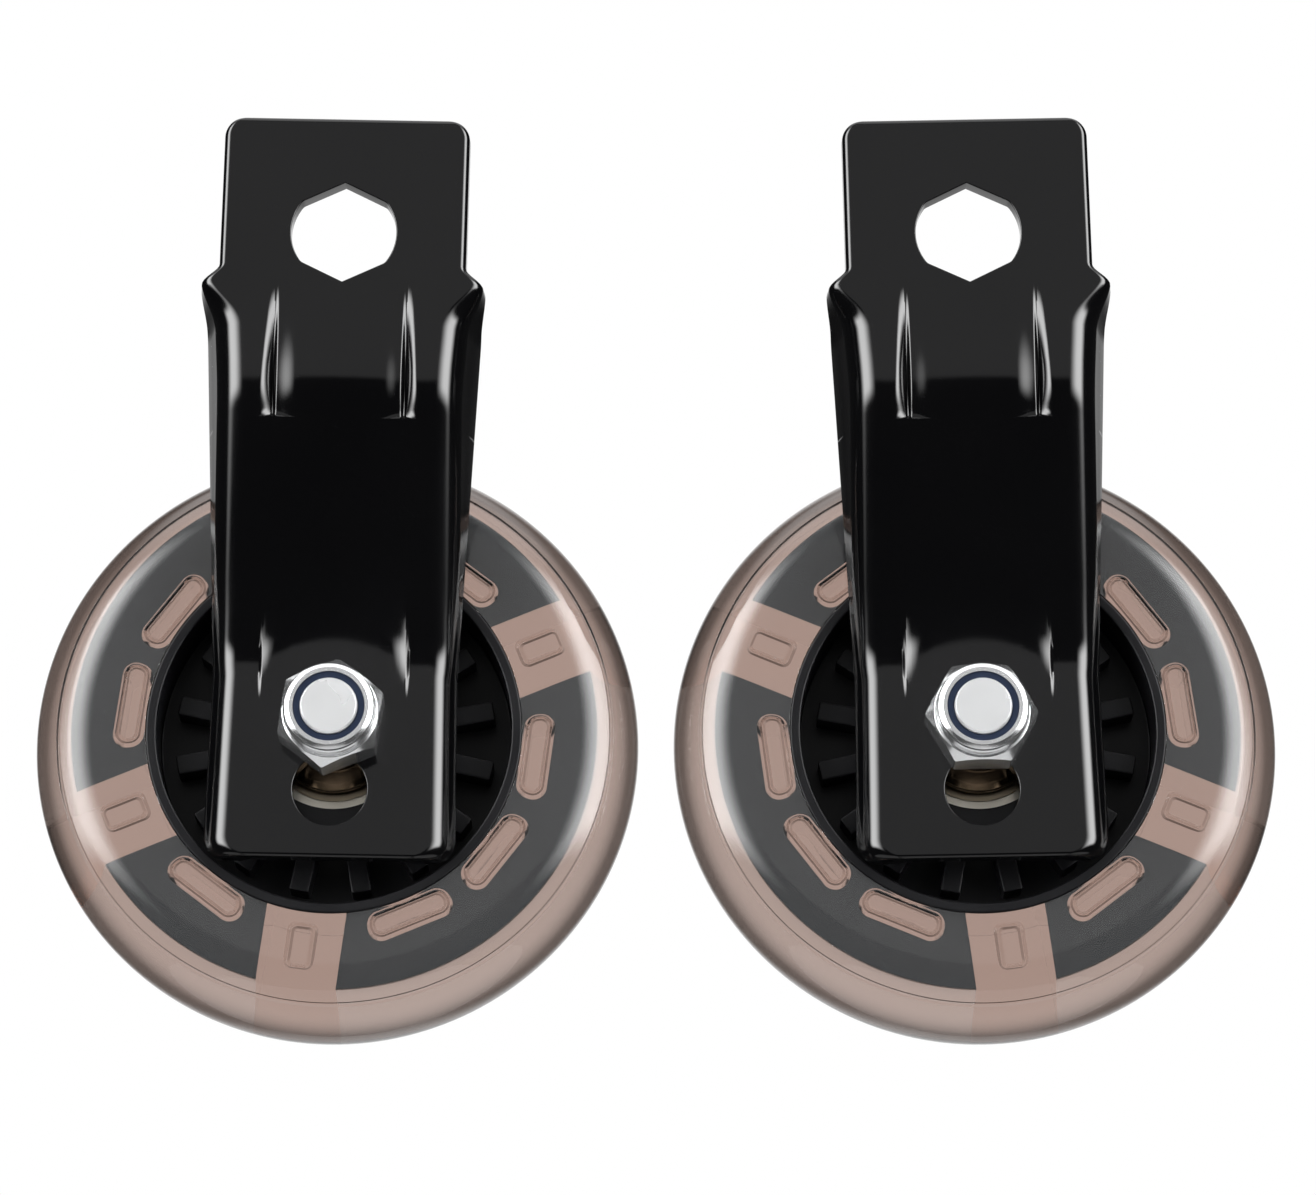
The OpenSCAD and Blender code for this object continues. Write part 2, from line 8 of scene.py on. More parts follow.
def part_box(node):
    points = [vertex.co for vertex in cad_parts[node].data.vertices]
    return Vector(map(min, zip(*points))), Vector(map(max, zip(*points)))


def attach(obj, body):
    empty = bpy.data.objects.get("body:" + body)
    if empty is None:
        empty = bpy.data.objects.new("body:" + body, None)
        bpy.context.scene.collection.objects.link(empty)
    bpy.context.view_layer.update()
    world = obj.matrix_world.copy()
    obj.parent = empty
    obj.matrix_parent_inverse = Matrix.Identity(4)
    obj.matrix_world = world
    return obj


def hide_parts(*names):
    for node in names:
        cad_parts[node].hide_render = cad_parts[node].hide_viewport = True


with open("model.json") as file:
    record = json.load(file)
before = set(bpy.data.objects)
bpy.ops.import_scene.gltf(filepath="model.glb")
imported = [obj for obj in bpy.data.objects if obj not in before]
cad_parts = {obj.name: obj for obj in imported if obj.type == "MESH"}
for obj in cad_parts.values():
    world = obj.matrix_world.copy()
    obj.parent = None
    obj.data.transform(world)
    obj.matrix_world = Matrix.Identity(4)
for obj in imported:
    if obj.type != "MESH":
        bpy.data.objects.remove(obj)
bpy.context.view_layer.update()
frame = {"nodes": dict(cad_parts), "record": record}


# Brackets: two mirrored plates of 3.2 mm steel sheet, blanked, pressed into a Z with folded-back
# sides and gussets over both bends, punched for the scooter's axle nut and for the wheel bolt,
# and coated gloss black. All pieces are drawn in millimetres about their unit's own axle.
wheel_y = 17.0


def unit_places():
    """Each unit's place: from millimetres about its leaning axle to metres in the frame."""
    low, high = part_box("left_tyre")
    middle = (low + high) / 2
    pad = next(m for m in frame["record"]["mounts"] if m["name"] == "left_pad_face")["pos_m"]
    lean = math.atan2(pad[0] - middle.x, pad[2] - middle.z)
    left = (Matrix.Translation((middle.x, middle.y - wheel_y / 1000, middle.z))
            @ Matrix.Rotation(lean, 4, "Y") @ Matrix.Scale(0.001, 4))
    return {"left": left, "right": Matrix.Scale(-1, 4, (1, 0, 0)) @ left}


places = unit_places()


def shaded(mesh, angle):
    """Smooth shading with sharp edges above an angle."""
    for polygon in mesh.polygons:
        polygon.use_smooth = True
    mesh.set_sharp_from_angle(angle=math.radians(angle))


def set_in_place(bm, side, name, material, body, replaced, angle=32):
    """Moves a drawn piece into the frame, ties it to its body and hides the CAD nodes that it replaces."""
    bmesh.ops.transform(bm, matrix=places[side], verts=bm.verts)
    bmesh.ops.recalc_face_normals(bm, faces=bm.faces)
    mesh = bpy.data.meshes.new(name)
    bm.to_mesh(mesh)
    bm.free()
    shaded(mesh, angle)
    mesh.materials.append(material)
    piece = bpy.data.objects.new(name, mesh)
    bpy.context.scene.collection.objects.link(piece)
    even = piece.modifiers.new("even shading", "WEIGHTED_NORMAL")
    even.keep_sharp = True
    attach(piece, body)
    for node in replaced:
        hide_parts(node)


def make_pair(bm, part, material, nodes, body="brackets", angle=32):
    """Sets one drawn piece on the left unit and its mirror image on the right one."""
    for side in ("left", "right"):
        set_in_place(bm.copy(), side, f"{side}_{part}", material, body.replace("SIDE", side),
                     [f"{side}_{node}" for node in nodes], angle)
    bm.free()


def wrapped(rings):
    """A closed tube through rings of points, drawn as a grid that is wrapped round and capped."""
    count = len(rings[0])
    bm = bmesh.new()
    bmesh.ops.create_grid(bm, x_segments=count, y_segments=len(rings) - 1, size=1)
    for vert in bm.verts:
        i = round((vert.co.x + 1) / 2 * count)
        k = round((vert.co.y + 1) / 2 * (len(rings) - 1))
        vert.co = rings[k][i % count]
    bmesh.ops.remove_doubles(bm, verts=bm.verts, dist=1e-4)
    bmesh.ops.holes_fill(bm, edges=[e for e in bm.edges if e.is_boundary], sides=0)
    bmesh.ops.recalc_face_normals(bm, faces=bm.faces)
    return bm


def cut(bm, tools, operation="DIFFERENCE"):
    """Cuts a shape with a list of tool shapes, exactly, and gives back the result."""
    work = bpy.data.objects.new("work", bpy.data.meshes.new("work"))
    bm.to_mesh(work.data)
    bm.free()
    bpy.context.scene.collection.objects.link(work)
    spent = [work]
    for tool in tools:
        cutter = bpy.data.objects.new("tool", bpy.data.meshes.new("tool"))
        tool.to_mesh(cutter.data)
        tool.free()
        bpy.context.scene.collection.objects.link(cutter)
        spent.append(cutter)
        step = work.modifiers.new("cut", "BOOLEAN")
        step.operation = operation
        step.solver = "EXACT"
        step.object = cutter
    bpy.context.view_layer.update()
    result = bmesh.new()
    result.from_mesh(work.evaluated_get(bpy.context.evaluated_depsgraph_get()).to_mesh())
    for used in spent:
        mesh = used.data
        bpy.data.objects.remove(used)
        bpy.data.meshes.remove(mesh)
    return result


sheet_t, pad_offset = 3.2, 16.0
top_z, bottom_z = 99.2, -22.7
waist_z, shoulder_z, ramp_top_z = 8.0, 70.0, 73.4
top_pad_w, shoulder_w, waist_w, bottom_w = 40.7, 45.9, 40.2, 41.2
top_corner_r, bottom_corner_r = 3.4, 3.5
low_bend_z, low_bend_mid_z, high_bend_z = 10.5, 16.0, 53.2
low_bend_half, low_bend_mid_half, high_bend_half = 3.0, 6.0, 4.0
shoulder_bulge, bulge_run, flange_fade = 0.5, 4.8, 7
low_flange_depth, shoulder_edge_y, edge_lip = 4.0, -4.0, 0.12
waist_fold, shoulder_fold, pad_fold = 62, 78, 88
low_fold_r, side_fold_r, pad_edge_r, inner_fold_r = 4.4, 5.6, 1.2, 0.1
dent_x, dent_top_z, dent_end_z, dent_depth, dent_end_run = 10.8, 71.3, 47.7, 2, 1.4
rib_x, rib_top_z, rib_foot_z = 11.7, 17.6, 2.6


def mix(a, b, t):
    """The value a share t of the way from a to b."""
    return a + (b - a) * t


def within(t):
    """A share, kept between 0 and 1."""
    return min(1.0, max(0.0, t))


def ease(t):
    """A share that starts and ends slowly."""
    return within(t) ** 2 * (3 - 2 * within(t))


def bend(z, z_bend, half):
    """A line that turns from level to a slope of one over a rounded bend."""
    if z < z_bend - half:
        return 0.0
    if z > z_bend + half:
        return z - z_bend
    return (z - z_bend + half) ** 2 / (4 * half)


def face_y(x, z):
    """The sheet's front face. The lower bend arches up towards the middle, over the nut."""
    arch = max(0.0, 1 - (x / rib_x) ** 2)
    z_low = mix(low_bend_z, low_bend_mid_z, arch)
    half = mix(low_bend_half, low_bend_mid_half, arch)
    slope = -pad_offset / (high_bend_z - z_low)
    return slope * (bend(z, z_low, half) - bend(z, high_bend_z, high_bend_half))


def rise(z):
    """How far up the middle part a level lies."""
    return within((z - waist_z) / (shoulder_z - waist_z))


def ramp(z):
    """How far a level lies into the step from the shoulders to the top pad."""
    return ease((z - shoulder_z) / (ramp_top_z - shoulder_z))


def fade(z):
    """How far the flanges have run out into the top pad's plain edge."""
    return ease((z - shoulder_z + flange_fade) / (ramp_top_z - shoulder_z + flange_fade))


def corner_loss(r, into):
    """What a round corner takes off the width at a distance into it."""
    return r - math.sqrt(max(0.0, r ** 2 - into ** 2))


def half_width(z):
    if z < waist_z:
        w = mix(bottom_w, waist_w, (z - bottom_z) / (waist_z - bottom_z)) / 2
    else:
        bulge = shoulder_bulge * ease(1 - (shoulder_z - z) / bulge_run)
        w = mix(mix(waist_w, shoulder_w, rise(z)) + 2 * bulge, top_pad_w, ramp(z)) / 2
    if z > top_z - top_corner_r:
        w -= corner_loss(top_corner_r, z - top_z + top_corner_r)
    if z < bottom_z + bottom_corner_r:
        w -= corner_loss(bottom_corner_r, bottom_z + bottom_corner_r - z)
    return w


def gusset(z):
    """How far the middle line of a gusset lies behind the sheet's front face."""
    rib = dent = 0.0
    if rib_foot_z < z < rib_top_z:
        ridge = mix(0, face_y(rib_x, rib_top_z), (z - rib_foot_z) / (rib_top_z - rib_foot_z))
        rib = max(0.0, face_y(rib_x, z) - ridge)
    if dent_end_z < z < dent_top_z:
        floor = mix(face_y(dent_x, dent_end_z) + dent_depth, face_y(dent_x, dent_top_z),
                    (z - dent_end_z) / (dent_top_z - dent_end_z))
        round_end = math.sqrt(1 - (1 - within((z - dent_end_z) / dent_end_run)) ** 2)
        dent = max(0.0, floor - face_y(dent_x, z)) * round_end
    return dent - rib


def end_rounding(z, r):
    """How far a face falls back in the rounding along the sheet's top and bottom edges."""
    d = max(0.0, z - (top_z - r), bottom_z + r - z)
    return r - math.sqrt(max(0.0, r * r - min(d, r) ** 2))


crease, rib_flank, dent_flank = 0.7, 3.2, 4.5
low_dent_wall, high_dent_wall = 2.3, 1.0


def pressed(u, z):
    """The share of a gusset's depth at a distance outwards from its middle line."""
    if z < rib_top_z:
        return 0.5 * ((1 - within(-u / rib_flank)) ** 2 if u < 0 else ease(1 - u / crease))
    wall = mix(low_dent_wall, high_dent_wall, within((z - dent_end_z) / (dent_top_z - dent_end_z)))
    if u > 0:
        return 0.6 * (1 - within(u / wall)) ** 1.4
    return 0.27 * ease(1 + u / crease) + 0.33 * ease(1 + u / dent_flank)


gusset_in, gusset_crest, gusset_out = 4.6, 1, 2.4
fold_steps, lip_steps = 14, 3
front_round, low_front_round, back_round, lip_round = 1.1, 0.6, 0.4, 0.45


def face_positions(gx, fold):
    """Distances from the middle to the fold, closest together over the gusset at gx."""
    across = [(gx - gusset_in) * i / 5 for i in range(5)]
    across += [gx - gusset_in + (gusset_in - gusset_crest) * i / 9 for i in range(9)]
    across += [gx - gusset_crest + i / 8 for i in range(9)]
    across += [gx + gusset_out * (i / 8) ** 1.3 for i in range(1, 9)]
    return across + [mix(gx + gusset_out, fold, 0.5)]


def flange_edge(front_tip, back_tip, front_end):
    """The rounded edge of a flange, from its front tip to its back tip."""
    lip = min(lip_round, 0.45 * (front_tip[0] - back_tip[0]))
    drop = min(lip, 0.9 * max(1e-3, front_tip[1] - front_end))
    edge = []
    for i in range(lip_steps + 1):
        t = math.pi / 2 * i / lip_steps
        edge.append((front_tip[0] - lip * (1 - math.cos(t)), front_tip[1] - drop * (1 - math.sin(t))))
    lip, drop = 0.6 * lip, 0.6 * drop
    for i in range(lip_steps + 1):
        t = math.pi / 2 * (1 - i / lip_steps)
        edge.append((back_tip[0] + lip * (1 - math.cos(t)), back_tip[1] - drop * (1 - math.sin(t))))
    return edge


def bracket_section(z):
    """One level section of the sheet, as points round it."""
    w, g = half_width(z), gusset(z)
    y0 = face_y(rib_x, z)
    depth = mix(mix(low_flange_depth, shoulder_edge_y, rise(z)) - y0, sheet_t + edge_lip, fade(z))
    opening = ease(rise(z) * 4)
    angle = math.radians(mix(mix(waist_fold, shoulder_fold, opening), pad_fold, fade(z)))
    gx = mix(rib_x, dent_x, within((z - rib_top_z) / (dent_end_z - rib_top_z)))
    turn = 1 - math.cos(angle)
    r_front = min(mix(side_fold_r, pad_edge_r, fade(z)), (depth - 0.35) / turn)
    r_front = mix(low_fold_r, r_front, opening)
    r_back = max((depth - sheet_t - inner_fold_r) / turn, inner_fold_r)
    r_back = min(max(r_front - sheet_t, inner_fold_r), r_back)
    front_in = end_rounding(z, front_round if z > 0 else low_front_round)
    back_in = end_rounding(z, back_round)
    half = []
    for skin, r, inward in ((0.0, r_front, front_in), (sheet_t, r_back, -back_in)):
        thick = skin / math.sin(angle)
        fold = w - thick - (depth - skin - r * turn) / math.tan(angle) - r * math.sin(angle)
        line = [(x, face_y(x, z) + skin + inward + g * pressed(x - gx, z)) for x in face_positions(gx, fold)]
        for i in range(fold_steps + 1):
            t = angle * i / fold_steps
            line.append((fold + r * math.sin(t), y0 + skin + inward * math.cos(t) + r * (1 - math.cos(t))))
        tip = (w - thick, y0 + depth)
        last = line[-1]
        line.append((mix(last[0], tip[0], 0.5), mix(last[1], tip[1], 0.5)))
        half.append((line, tip))
    (front, front_tip), (back, back_tip) = half
    right = front + flange_edge(front_tip, back_tip, front[-1][1]) + list(reversed(back))
    left = [(-x, y) for x, y in reversed(right)]
    return [(x, y, z) for x, y in right + left[1:-1]]


def spread(a, b, n):
    """Evenly spaced levels from a to just below b."""
    return [mix(a, b, i / n) for i in range(n)]


corner_steps, end_steps = 12, 7
slope_low_z, slope_high_z, shoulder_low_z = 22, 57.5, 63
turns = [math.pi / 2 * i / corner_steps for i in range(corner_steps)]
first_turn = 0.6 * turns[1]
levels = [bottom_z + bottom_corner_r * (1 - math.cos(t + first_turn)) for t in turns]
levels += spread(bottom_z + bottom_corner_r + 0.1, rib_foot_z, 6) + spread(rib_foot_z, rib_top_z, 24)
levels += spread(rib_top_z, slope_low_z, 6) + spread(slope_low_z, dent_end_z, 22)
levels += [dent_end_z + dent_end_run * (i / end_steps) ** 2 for i in range(end_steps)]
levels += spread(dent_end_z + dent_end_run, slope_high_z, 12) + spread(slope_high_z, shoulder_low_z, 6)
levels += spread(shoulder_low_z, ramp_top_z, 24) + spread(ramp_top_z, top_z - top_corner_r, 8)
levels += [top_z - top_corner_r + top_corner_r * math.sin(t) for t in turns]
levels += [top_z - 0.01]


def punch(outline, y_front, y_back):
    """A punching tool: an outline [x, z] run through the sheet, flared where it enters and leaves."""
    rim, burr, over = 0.18, 0.25, 1
    steps = [(y_front - over, rim)]
    for i in range(5):
        t = math.pi / 2 * i / 4
        steps.append((y_front + rim * (1 - math.cos(t)), rim * (1 - math.sin(t))))
    steps += [(y_back - burr, 0.0), (y_back - 0.07, 0.07), (y_back, burr), (y_back + over, burr)]
    cx = sum(x for x, z in outline) / len(outline)
    cz = sum(z for x, z in outline) / len(outline)
    rings = []
    for y, grow in steps:
        ring = []
        for x, z in outline:
            away = math.hypot(x - cx, z - cz)
            scale = (away + grow) / away
            ring.append((cx + (x - cx) * scale, y, cz + (z - cz) * scale))
        rings.append(ring)
    return wrapped(rings)


def circle(r, n, cz=0.0):
    """A round outline [x, z] with its centre on the middle line."""
    return [(r * math.cos(math.tau * i / n), cz + r * math.sin(math.tau * i / n)) for i in range(n)]


hex_hole_z, hex_hole_r, hex_roof_z = 79.1, 8.66, 8.61
roof_slope = math.tan(math.radians(26))
hex_outline = []
for x, z in circle(hex_hole_r, 120):
    hex_outline.append((x, hex_hole_z + math.copysign(min(abs(z), hex_roof_z - abs(x) * roof_slope), z)))
low_hole_r, low_hole_z, bolt_hole_r = 6.1, -11.3, 5.2
neck_half_w, neck_half_h, neck_z = 3.5, 5, -5.5
neck = [(x * neck_half_w, neck_z + z * neck_half_h)
        for x, z in ((1, 1), (-1, 1), (-1, 0), (-1, -1), (1, -1), (1, 0))]
bracket_mesh = cut(wrapped([bracket_section(z) for z in levels]), [
    punch(hex_outline, -pad_offset, -pad_offset + sheet_t),
    punch(circle(low_hole_r, 72, low_hole_z), 0, sheet_t),
    punch(neck, 0, sheet_t),
    punch(circle(bolt_hole_r, 64), 0, sheet_t)])


def grain_group():
    """Fine surface texture and slow patches on Object coordinates, shared by all finishes."""
    group = bpy.data.node_groups.new("surface_grain", "ShaderNodeTree")
    for name, usual in (("Grain Scale", 900.0), ("Grain Detail", 2.0), ("Patch Scale", 60.0)):
        socket = group.interface.new_socket(name, in_out="INPUT", socket_type="NodeSocketFloat")
        socket.default_value = usual
    group.interface.new_socket("Grain", in_out="OUTPUT", socket_type="NodeSocketFloat")
    group.interface.new_socket("Patch", in_out="OUTPUT", socket_type="NodeSocketFloat")
    nodes, links = group.nodes, group.links
    inputs, outputs = nodes.new("NodeGroupInput"), nodes.new("NodeGroupOutput")
    coords = nodes.new("ShaderNodeTexCoord")
    for name, scale, detail in (("Grain", "Grain Scale", "Grain Detail"), ("Patch", "Patch Scale", None)):
        noise = nodes.new("ShaderNodeTexNoise")
        links.new(coords.outputs["Object"], noise.inputs["Vector"])
        links.new(inputs.outputs[scale], noise.inputs["Scale"])
        if detail:
            links.new(inputs.outputs[detail], noise.inputs["Detail"])
        links.new(noise.outputs["Fac"], outputs.inputs[name])
    return group


surface_grain = grain_group()


def finish(name, colour, second_colour, rough, second_rough, grain, patch, bump, bump_depth, **plain):
    """A finish whose colour and gloss drift between two values, with a fine bump over it."""
    material = bpy.data.materials.new(name)
    material.use_nodes = True
    nodes, links = material.node_tree.nodes, material.node_tree.links
    shader = nodes["Principled BSDF"]
    for socket, value in plain.items():
        shader.inputs[socket.replace("_", " ")].default_value = value
    texture = nodes.new("ShaderNodeGroup")
    texture.node_tree = surface_grain
    texture.inputs["Grain Scale"].default_value = grain
    texture.inputs["Patch Scale"].default_value = patch
    tint = nodes.new("ShaderNodeMix")
    tint.data_type = "RGBA"
    tint.inputs["A"].default_value = (*colour, 1)
    tint.inputs["B"].default_value = (*second_colour, 1)
    gloss = nodes.new("ShaderNodeMapRange")
    gloss.inputs["From Min"].default_value = 0.3
    gloss.inputs["From Max"].default_value = 0.7
    gloss.inputs["To Min"].default_value = rough
    gloss.inputs["To Max"].default_value = second_rough
    relief = nodes.new("ShaderNodeBump")
    relief.inputs["Strength"].default_value = bump
    relief.inputs["Distance"].default_value = bump_depth
    links.new(texture.outputs["Patch"], tint.inputs["Factor"])
    links.new(texture.outputs["Patch"], gloss.inputs["Value"])
    links.new(tint.outputs["Result"], shader.inputs["Base Color"])
    links.new(gloss.outputs["Result"], shader.inputs["Roughness"])
    links.new(texture.outputs["Grain"], relief.inputs["Height"])
    links.new(relief.outputs["Normal"], shader.inputs["Normal"])
    return material


black_coat = finish("black_coat", (0.0025, 0.0025, 0.003), (0.004, 0.004, 0.0045), 0.08, 0.12, 420, 45,
                    0.06, 0.00004, Specular_IOR_Level=0.5)
make_pair(bracket_mesh, "pressed_bracket", black_coat, ["bracket"])


# Bolts, lock nuts and washers: M10 bolts with hexagon heads behind the wheels, their ends just
# proud of the nuts in front. Cold-formed steel with bright zinc plating, turned rims and
# chamfered corners. The nuts have a round collar that is crimped over a nylon ring.
def eased(profile, rim):
    """The outline of a turned piece [radius, y] with every corner off the axis rounded a little."""
    points = []
    count = len(profile)
    for i, point in enumerate(profile):
        here = Vector(point)
        before, after = Vector(profile[i - 1]), Vector(profile[(i + 1) % count])
        if point[0] < 1e-6:
            points.append(tuple(here))
            continue
        one, two = before - here, after - here
        corner = one.angle(two)
        reach = min(rim / math.tan(corner / 2), 0.45 * one.length, 0.45 * two.length)
        if corner > math.radians(165):
            points.append(tuple(here))
            continue
        start, end = here + one.normalized() * reach, here + two.normalized() * reach
        for t in (0.0, 0.25, 0.5, 0.75, 1.0):
            points.append(tuple(start * (1 - t) ** 2 + here * 2 * t * (1 - t) + end * t ** 2))
    return points


def turned(profile, rim=0.12, steps=96):
    """A piece turned about the axle from its outline [radius, y]."""
    bm = bmesh.new()
    verts = [bm.verts.new((r, y, 0)) for r, y in eased(profile, rim)]
    on_axis = profile[0][0] < 1e-6
    edges = [bm.edges.new(pair) for pair in zip(verts, verts[1:])]
    if not on_axis:
        edges.append(bm.edges.new((verts[-1], verts[0])))
    bmesh.ops.spin(bm, geom=verts + edges, cent=(0, 0, 0), axis=(0, 1, 0), angle=math.tau,
                   steps=steps, use_merge=True)
    bmesh.ops.remove_doubles(bm, verts=bm.verts, dist=1e-4)
    bmesh.ops.recalc_face_normals(bm, faces=bm.faces)
    return bm


def joined(shapes):
    """Several closed shapes as one piece."""
    whole = bmesh.new()
    for shape in shapes:
        mesh = bpy.data.meshes.new("part")
        shape.to_mesh(mesh)
        shape.free()
        whole.from_mesh(mesh)
        bpy.data.meshes.remove(mesh)
    return whole


flats, thread_bore_r, bolt_r, washer_r = 16.0, 5.01, 5, 10
corner_r = flats / 2 / math.cos(math.radians(30))
washer_y, head_y, rear_y = 26.0, 28.0, 34.4


def hexagon(y0, y1, turn, front_chamfer, rear_chamfer):
    """A hexagonal bar along the axle whose ends are turned to a cone."""
    bar = bmesh.new()
    bmesh.ops.create_cone(bar, cap_ends=True, segments=6, radius1=corner_r, radius2=corner_r,
                          depth=y1 - y0)
    along_axle = (Matrix.Translation((0, (y0 + y1) / 2, 0)) @ Matrix.Rotation(math.radians(turn), 4, "Y")
                  @ Matrix.Rotation(math.radians(-90), 4, "X") @ Matrix.Rotation(math.radians(30), 4, "Z"))
    bmesh.ops.transform(bar, verts=bar.verts, matrix=along_axle)
    upright = [e for e in bar.edges if abs(e.verts[0].co.y - e.verts[1].co.y) > 1]
    bmesh.ops.bevel(bar, geom=upright, offset=0.25, segments=3, profile=0.5, affect="EDGES", material=-1)
    wide, face, rear_slope = corner_r + 1, flats / 2 - 0.25, 0.52
    outline = [[0, y0], [face if front_chamfer else wide, y0]]
    if front_chamfer:
        outline += [[wide, y0 + wide - face]]
    if rear_chamfer:
        outline += [[wide, y1 - (wide - face) * rear_slope], [face, y1]]
    else:
        outline += [[wide, y1]]
    outline += [[0, y1]]
    return cut(bar, [turned(outline, 0.12, 72)], "INTERSECT")


bright_zinc = finish("bright_zinc", (0.86, 0.87, 0.88), (0.92, 0.93, 0.94), 0.14, 0.22, 700, 160,
                     0.15, 0.00003, Metallic=0.92)
bolt_zinc = finish("bolt_zinc", (0.90, 0.91, 0.92), (0.95, 0.96, 0.97), 0.2, 0.3, 700, 160,
                   0.15, 0.00003, Metallic=0.4)
shank = turned([[0, -10.4], [4.4, -10.4], [4.66, -10.1], [4.7, -7.7], [bolt_r, -7.4], [bolt_r, head_y + 0.2],
                [0, head_y + 0.2]], 0.08)
bolt_mesh = joined([shank, hexagon(head_y, rear_y, 0, False, True)])
make_pair(bolt_mesh, "wheel_bolt", bolt_zinc, ["axle_bolt"])
washer_mesh = turned([[thread_bore_r, washer_y], [washer_r, washer_y], [washer_r, head_y],
                      [thread_bore_r, head_y]], 0.25)
make_pair(washer_mesh, "plain_washer", bright_zinc, ["head_washer"])

hexagon_front, nut_front, collar_r, ring_seat_y, ring_seat_r = -6.6, -10, 7.55, -7.5, 5.86
for side, turn in (("left", 37), ("right", 0)):
    collar = turned([[0, -5], [0, nut_front], [6.5, nut_front], [7.2, -9.6], [7.3, -9.0], [collar_r, -8.8],
                     [collar_r, -5]], 0.12)
    nut = cut(hexagon(hexagon_front, 0, turn, True, False), [collar], "UNION")
    bore = turned([[0, 1], [thread_bore_r, 1], [thread_bore_r, ring_seat_y], [ring_seat_r, ring_seat_y],
                   [ring_seat_r, -9.7], [5.8, -9.8], [6.0, -11], [0, -11]], 0.02)
    nut = cut(nut, [bore])
    set_in_place(nut, side, f"{side}_pinned_nut", bright_zinc, "brackets", [f"{side}_lock_nut"])


# Nylon rings: moulded dark blue rings that sit in the nuts' collars and grip the bolts' threads.
# Each is a little smaller than its seat, and its rounded lip shows in front round the bolt's end.
navy_nylon = finish("navy_nylon", (0.004, 0.010, 0.028), (0.007, 0.015, 0.038), 0.45, 0.55, 1500, 300,
                    0.2, 0.00002, Specular_IOR_Level=0.3)
ring_bore_r, ring_r, ring_front_y, ring_back_y = 4.72, 5.85, -9.75, -7.6
ring_mesh = turned([[ring_bore_r, ring_front_y], [ring_r, ring_front_y], [ring_r, ring_back_y],
                    [ring_bore_r, ring_back_y]], 0.16)
make_pair(ring_mesh, "nylon_ring", navy_nylon, ["nut_insert"])


# Spacers: turned collars between bracket and bearing, with a cone that widens to a flange.
# Their plating has a warm bronze tone, and fine grooves run round them. A plain zinc sleeve keeps
# each wheel's two bearings apart.
bronze_zinc = finish("bronze_zinc", (0.17, 0.115, 0.07), (0.26, 0.19, 0.125), 0.14, 0.22, 800, 200,
                     0.2, 0.00003, Metallic=1.0)
spacer_l, spacer_seat_r = 4.8, 7
spacer_back_y = sheet_t + spacer_l
spacer_mesh = turned([[thread_bore_r, sheet_t], [7.6, sheet_t], [7.7, 3.3], [7.7, 3.7], [7.5, 3.8],
                      [7.5, 4.3], [8.0, 4.5], [9.2, 5.15], [9.1, 5.35], [10.1, 5.9], [10.3, 6.2],
                      [10.3, 6.5], [10.1, 6.6], [10.3, 6.7], [10.3, 7.2], [spacer_seat_r, 7.2],
                      [spacer_seat_r, spacer_back_y], [thread_bore_r, spacer_back_y]], 0.08)
make_pair(spacer_mesh, "coned_spacer", bronze_zinc, ["stepped_spacer"])
sleeve_r, bearing_gap = 7.15, 2
sleeve_front, sleeve_back = wheel_y - bearing_gap / 2, wheel_y + bearing_gap / 2
sleeve_mesh = turned([[thread_bore_r, sleeve_front], [sleeve_r, sleeve_front], [sleeve_r, sleeve_back],
                      [thread_bore_r, sleeve_back]], 0.1)
make_pair(sleeve_mesh, "inner_spacer", bright_zinc, ["bearing_spacer"])


# Bearings: two 10 x 26 x 8 ball bearings a wheel. Ground steel rings, pressed shields with a
# brassy passivation, and polished balls in a cage. Balls and cages keep their CAD shapes.
ring_steel = finish("ring_steel", (0.62, 0.58, 0.50), (0.70, 0.66, 0.58), 0.28, 0.36, 900, 240,
                    0.1, 0.00002, Metallic=0.9)
shield_steel = finish("shield_steel", (0.36, 0.30, 0.22), (0.44, 0.37, 0.27), 0.32, 0.42, 900, 200,
                      0.15, 0.00002, Metallic=1.0)
bearing_r, bearing_w, inner_ring_r, outer_bore_r = 13, 8, 7.35, 10.7
ball_circle_r, track_r = 9, 2.43
shield_seat_r, shield_seat, shield_t, shield_fit = 11.4, 0.8, 0.4, 0.02
for place, y in (("front", sleeve_front - bearing_w), ("rear", sleeve_back)):
    end, middle = y + bearing_w, y + bearing_w / 2
    track = []
    for turn in range(0, 181, 15):
        a = math.radians(turn)
        track.append((ball_circle_r + track_r * math.sin(a), middle + track_r * math.cos(a)))
    inner_side = [(2 * ball_circle_r - r, h) for r, h in track if 2 * ball_circle_r - r < inner_ring_r]
    inner_mesh = turned([[thread_bore_r, y], [inner_ring_r, y], *inner_side, [inner_ring_r, end],
                         [thread_bore_r, end]], 0.2)
    make_pair(inner_mesh, f"{place}_inner_race", ring_steel, [f"{place}_inner_ring"])
    outer_side = [(r, h) for r, h in reversed(track) if r > outer_bore_r]
    outer_mesh = turned([[shield_seat_r, y], [bearing_r, y], [bearing_r, end], [shield_seat_r, end],
                         [shield_seat_r, end - shield_seat], [outer_bore_r, end - shield_seat], *outer_side,
                         [outer_bore_r, y + shield_seat], [shield_seat_r, y + shield_seat]], 0.2)
    make_pair(outer_mesh, f"{place}_outer_race", ring_steel, [f"{place}_outer_ring"],
              "SIDE_wheel")
    lid_in, lid_out = 7.5, shield_seat_r - shield_fit
    lids = joined([turned([[lid_in, h], [lid_out, h], [lid_out, h + shield_t], [lid_in, h + shield_t]], 0.12)
                   for h in (y + shield_t, end - shield_seat)])
    make_pair(lids, f"{place}_dust_shields", shield_steel, [f"{place}_shields"],
              "SIDE_wheel")
